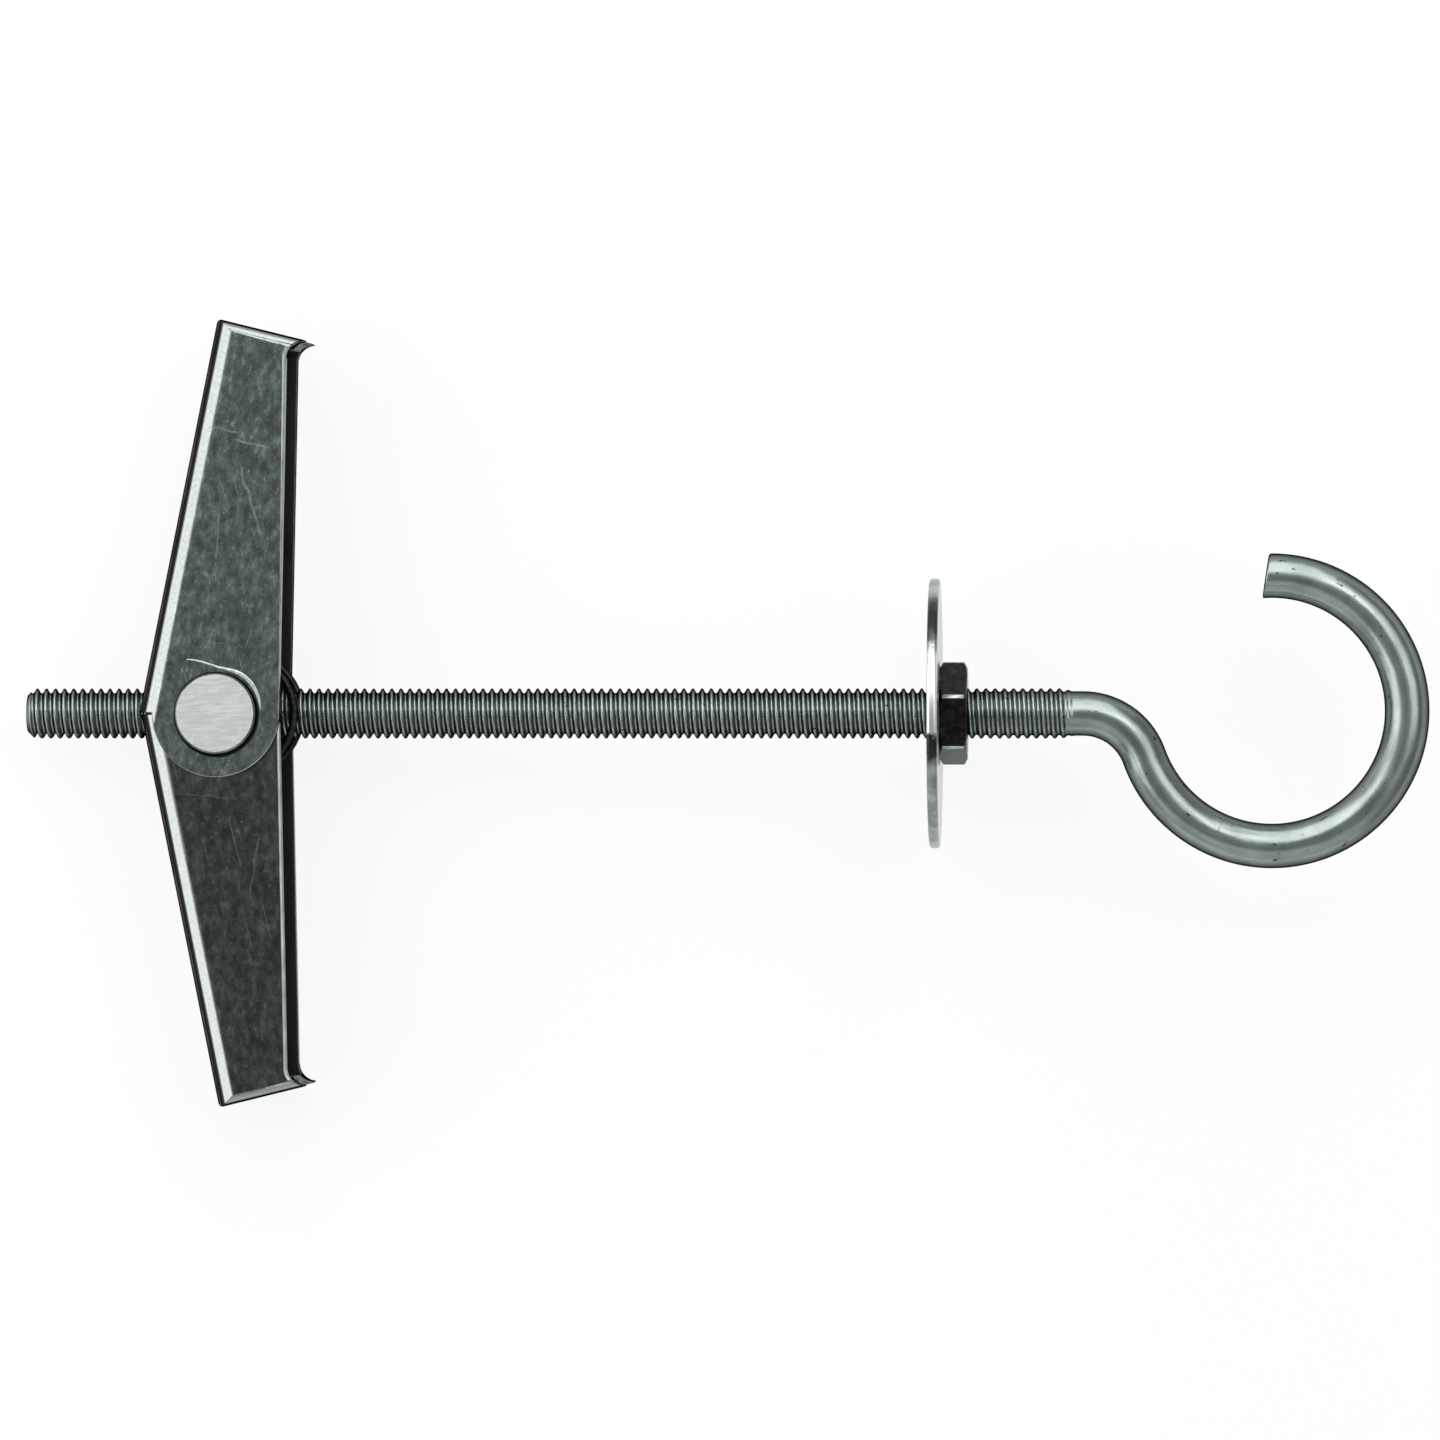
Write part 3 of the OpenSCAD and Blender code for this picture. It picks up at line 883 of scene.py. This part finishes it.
def lathe(name, profile, around):
    """A ring turned about the rod. The profile is a closed loop of (place along X, radius)."""
    work = bmesh.new()
    rings = []
    for i in range(around):
        a = 2 * math.pi * i / around
        rings.append([work.verts.new((x, r * math.cos(a), r * math.sin(a))) for x, r in profile])
    for i in range(around):
        for j in range(len(profile)):
            k = (j + 1) % len(profile)
            a, b = rings[i], rings[(i + 1) % around]
            work.faces.new((a[j], a[k], b[k], b[j])).smooth = True
    bmesh.ops.recalc_face_normals(work, faces=work.faces)
    return finished(name, work)


def washer_profile():
    """Section of the ring: flat faces, a full round at the rim and a small one at the hole."""
    corners = [
        (washer_low.x + rim_round, washer_r - rim_round, rim_round, math.pi),
        (washer_high.x - rim_round, washer_r - rim_round, rim_round, quarter),
        (washer_high.x - hole_round, washer_hole_r + hole_round, hole_round, 0),
        (washer_low.x + hole_round, washer_hole_r + hole_round, hole_round, -quarter),
    ]
    points = []
    for x, r, round_r, start in corners:
        for k in range(round_steps + 1):
            a = start - quarter * k / round_steps
            points.append((x + round_r * math.cos(a), r + round_r * math.sin(a)))
    return points


def stamped_zinc():
    """Zinc plating on the washer: satin faces, and a patchy rim with painted light along it: a
    painted white reflection over one arc, and painted shadow and dark reflection on both sides of
    it."""
    material, shader = plated_metal("washer_zinc", (0.5, 0.54, 0.525), 0.3, (1, 1, 1))
    place = node(material, "ShaderNodeTexCoord").outputs["Object"]
    patches = blotches(material, place, 3.0 * MM, detail=4, roughness=0.65)
    specks = blotches(material, place, 0.4 * MM, detail=3, roughness=0.7)
    face = blended(material, graded(material, patches, 0.4, 0.6), *washer_face_tones)
    face = blended(material, graded(material, specks, 0.60, 0.74), face, washer_speck_tone)
    rim = blended(material, graded(material, patches, 0.42, 0.58), *rim_tones)
    edge = blotches(material, place, 0.5 * MM)
    y = along_axes(material, place)["Y"]
    ragged = reckoned(material, "MULTIPLY_ADD", edge, rim_ragged, y)
    # A ramp along Y paints light and shade on the rim: a white reflection and shadows beside it.
    arc = node(material, "ShaderNodeValToRGB")
    low_y, high_y = rim_ragged / 2 - washer_r, rim_ragged / 2 + washer_r
    link(material, graded(material, ragged, low_y, high_y), arc.inputs["Fac"])
    for end in arc.color_ramp.elements:
        end.color = (0.5, 0.5, 0.5, 1)
    for wear_y, amount in rim_painted_light:
        stop = arc.color_ramp.elements.new((wear_y * MM + washer_r) / (2 * washer_r))
        stop.color = (amount, amount, amount, 1)
    level = node(material, "ShaderNodeSeparateColor")
    link(material, arc.outputs["Color"], level.inputs[0])
    painted_light_level = level.outputs[0]
    # Painted shadow and dark reflection where the ramp is low, a painted white reflection where it
    # is high.
    rim = blended(material, graded(material, painted_light_level, 0.5, 0.1), rim, rim_painted_shadow_tone)
    rim = blended(material, graded(material, painted_light_level, 0.5, 0.9), rim, rim_painted_reflection_tone)
    from_rod = distance_from(material, place, (0, 0, 0), (0, 1, 1))
    rim_start = washer_r - rim_round
    on_rim = graded(material, from_rod, rim_start - 0.02 * MM, rim_start + 0.03 * MM)
    link(material, blended(material, on_rim, face, rim), shader.inputs["Base Color"])
    link(material, graded(material, on_rim, 0, 1, 0.3, 0.34), shader.inputs["Roughness"])
    link(material, raised(material, specks, 0.003 * MM), shader.inputs["Normal"])
    return material


washer = lathe("washer_ring", washer_profile(), washer_facets)
washer.data.materials.append(stamped_zinc())
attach(washer, "washer")
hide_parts("washer")


# ---------------------------------------------------------------------------------------------
# Nut. A thin M4 hexagon nut, cold formed and darkened, whose corners are chamfered on both faces
# and worn bright by the spanner's rubbing; a painted highlight brightens those corners more.
# ---------------------------------------------------------------------------------------------

nut_corner_reach = 3.2 * MM
nut_rubbed_edges = 0.17 * MM
nut_other_edges = 0.06 * MM
nut_sharp_angle = math.radians(25)
nut_tones = ((0.018, 0.016, 0.016), (0.038, 0.035, 0.035))


def dark_nut():
    """Dark plated nut with faint pressing marks on its flats."""
    material, shader = plated_metal("dark_nut", (0.024, 0.022, 0.022), 0.26, (0.9, 1, 0.96))
    place = node(material, "ShaderNodeTexCoord").outputs["Object"]
    marks = blotches(material, place, 0.5 * MM, detail=4, roughness=0.65)
    tone = blended(material, graded(material, marks, 0.42, 0.66), *nut_tones)
    link(material, tone, shader.inputs["Base Color"])
    link(material, graded(material, marks, 0.3, 0.7, 0.2, 0.36), shader.inputs["Roughness"])
    link(material, raised(material, marks, 0.006 * MM), shader.inputs["Normal"])
    return material


def formed_nut():
    """The nut's CAD shape with its six long corners worn bright and given a painted highlight
    (second material), and the rest eased.
    """
    work = cad_form("hex_nut")
    corners, others = [], []
    for edge in work.edges:
        if len(edge.link_faces) != 2 or edge.calc_face_angle(0) < nut_sharp_angle:
            continue
        run = edge.verts[1].co - edge.verts[0].co
        out = min(v.co.yz.length for v in edge.verts)
        if abs(run.normalized().x) > 0.99 and out > nut_corner_reach:
            corners.append(edge)
        else:
            others.append(edge)
    shared = {"affect": "EDGES", "clamp_overlap": True}
    bmesh.ops.bevel(work, geom=corners, offset=nut_rubbed_edges, segments=3, material=1, **shared)
    others = [e for e in others if e.is_valid]
    bmesh.ops.bevel(work, geom=others, offset=nut_other_edges, segments=2, **shared)
    for face in work.faces:
        face.smooth = True
    piece = finished("nut_formed", work)
    shade_evenly(piece)
    return piece


nut = formed_nut()
nut.data.materials.append(dark_nut())
nut.data.materials.append(rubbed_and_highlight)
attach(nut, "nut")
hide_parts("hex_nut")


# ---------------------------------------------------------------------------------------------
# Studio. The bolt lies on a plain white table, on the washer's rim and the trunnion's lower end,
# so the table is at a slight slope to the rod. A low white screen goes round the table. Large soft
# lamps stand behind and at the left, and two weaker ones at the right and in front.
# ---------------------------------------------------------------------------------------------

washer_foot = Vector(((washer_low.x + washer_high.x) / 2, 0, washer_low.z))
pin_foot = Vector((trunnion_low.x + 0.3 * MM, 0, trunnion_low.z))
slope = math.atan2(pin_foot.z - washer_foot.z, washer_foot.x - pin_foot.x)
table_r = 1.5
table_sides = 96
screen_h = 0.3
table_paint = (0.88, 0.88, 0.88, 1)
table_glow = 0.87
lamp_distance = 0.5
room_tone = (0.80, 0.90, 0.87, 1)
room_level = 0.3
view_centre = Vector((-16.03 * MM, -0.5 * MM, 0))
frame_width = 110.1 * MM
camera_distance = 0.63
camera_lean = math.radians(2.94)
sensor = 36.0


def white_table():
    """Plain white, as the camera and polished metal see it, and keeps the bolt's shadow."""
    material = bpy.data.materials.new("white_table")
    material.use_nodes = True
    material.node_tree.nodes.clear()
    out = node(material, "ShaderNodeOutputMaterial")
    rays = node(material, "ShaderNodeLightPath").outputs
    paint = node(material, "ShaderNodeBsdfDiffuse", Color=table_paint)
    glow = node(material, "ShaderNodeEmission", Color=(1, 1, 1, 1), Strength=1.0)
    seen = node(material, "ShaderNodeMixShader", Fac=table_glow)
    choice = node(material, "ShaderNodeMixShader")
    direct = reckoned(material, "MAXIMUM", rays["Is Camera Ray"], rays["Is Glossy Ray"])
    direct = reckoned(material, "MAXIMUM", direct, rays["Is Transmission Ray"])
    link(material, paint.outputs[0], seen.inputs[1])
    link(material, glow.outputs[0], seen.inputs[2])
    link(material, direct, choice.inputs[0])
    link(material, paint.outputs[0], choice.inputs[1])
    link(material, seen.outputs[0], choice.inputs[2])
    link(material, choice.outputs[0], out.inputs["Surface"])
    return material


def lay_table():
    """A flat round table through the feet of washer and pin, with a low white screen round it."""
    work = bmesh.new()
    turns = [2 * math.pi * k / table_sides for k in range(table_sides)]
    rim = [(table_r * math.cos(a), table_r * math.sin(a)) for a in turns]
    edge = [work.verts.new((x, y, 0)) for x, y in rim]
    head = [work.verts.new((x, y, screen_h)) for x, y in rim]
    work.faces.new(edge)
    for k in range(table_sides):
        after = (k + 1) % table_sides
        work.faces.new((edge[k], head[k], head[after], edge[after]))
    place = Matrix.Translation(washer_foot) @ Matrix.Rotation(slope, 4, "Y")
    bmesh.ops.transform(work, matrix=place, verts=work.verts)
    table = finished("table", work)
    table.data.materials.append(white_table())


def soft_lamp(name, azimuth, polar, width, height, watts):
    """An area lamp aimed at the bolt, from that compass angle and angle off the vertical."""
    data = bpy.data.lights.new(name, "AREA")
    data.shape = "RECTANGLE"
    data.size, data.size_y = width, height
    data.energy = watts
    lamp = bpy.data.objects.new(name, data)
    a, p = math.radians(azimuth), math.radians(polar)
    towards = Vector((math.sin(p) * math.cos(a), math.sin(p) * math.sin(a), math.cos(p)))
    lamp.location = view_centre + towards * lamp_distance
    lamp.rotation_mode = "QUATERNION"
    lamp.rotation_quaternion = towards.to_track_quat("Z", "Y")
    lamp.visible_camera = False
    bpy.context.scene.collection.objects.link(lamp)


lay_table()
soft_lamp("back_lamp", azimuth=95, polar=48, width=0.6, height=0.58, watts=2.4)
soft_lamp("left_lamp", azimuth=178, polar=60, width=0.5, height=0.53, watts=1.75)
soft_lamp("right_lamp", azimuth=20, polar=42, width=0.38, height=0.3, watts=0.55)
soft_lamp("front_fill", azimuth=270, polar=58, width=0.9, height=0.6, watts=0.88)

world = bpy.data.worlds.new("studio")
world.use_nodes = True
world.node_tree.nodes["Background"].inputs["Color"].default_value = room_tone
world.node_tree.nodes["Background"].inputs["Strength"].default_value = room_level
bpy.context.scene.world = world

camera_data = bpy.data.cameras.new("camera")
camera_data.sensor_width = sensor
camera_data.lens = sensor * camera_distance / frame_width
camera_data.clip_start, camera_data.clip_end = 0.01, 10
camera = bpy.data.objects.new("camera", camera_data)
towards_camera = Vector((math.sin(camera_lean), 0, math.cos(camera_lean)))
camera.location = view_centre + camera_distance * towards_camera
camera.rotation_euler = (0, camera_lean, 0)
bpy.context.scene.collection.objects.link(camera)
bpy.context.scene.camera = camera
bpy.context.scene.view_settings.view_transform = "Standard"
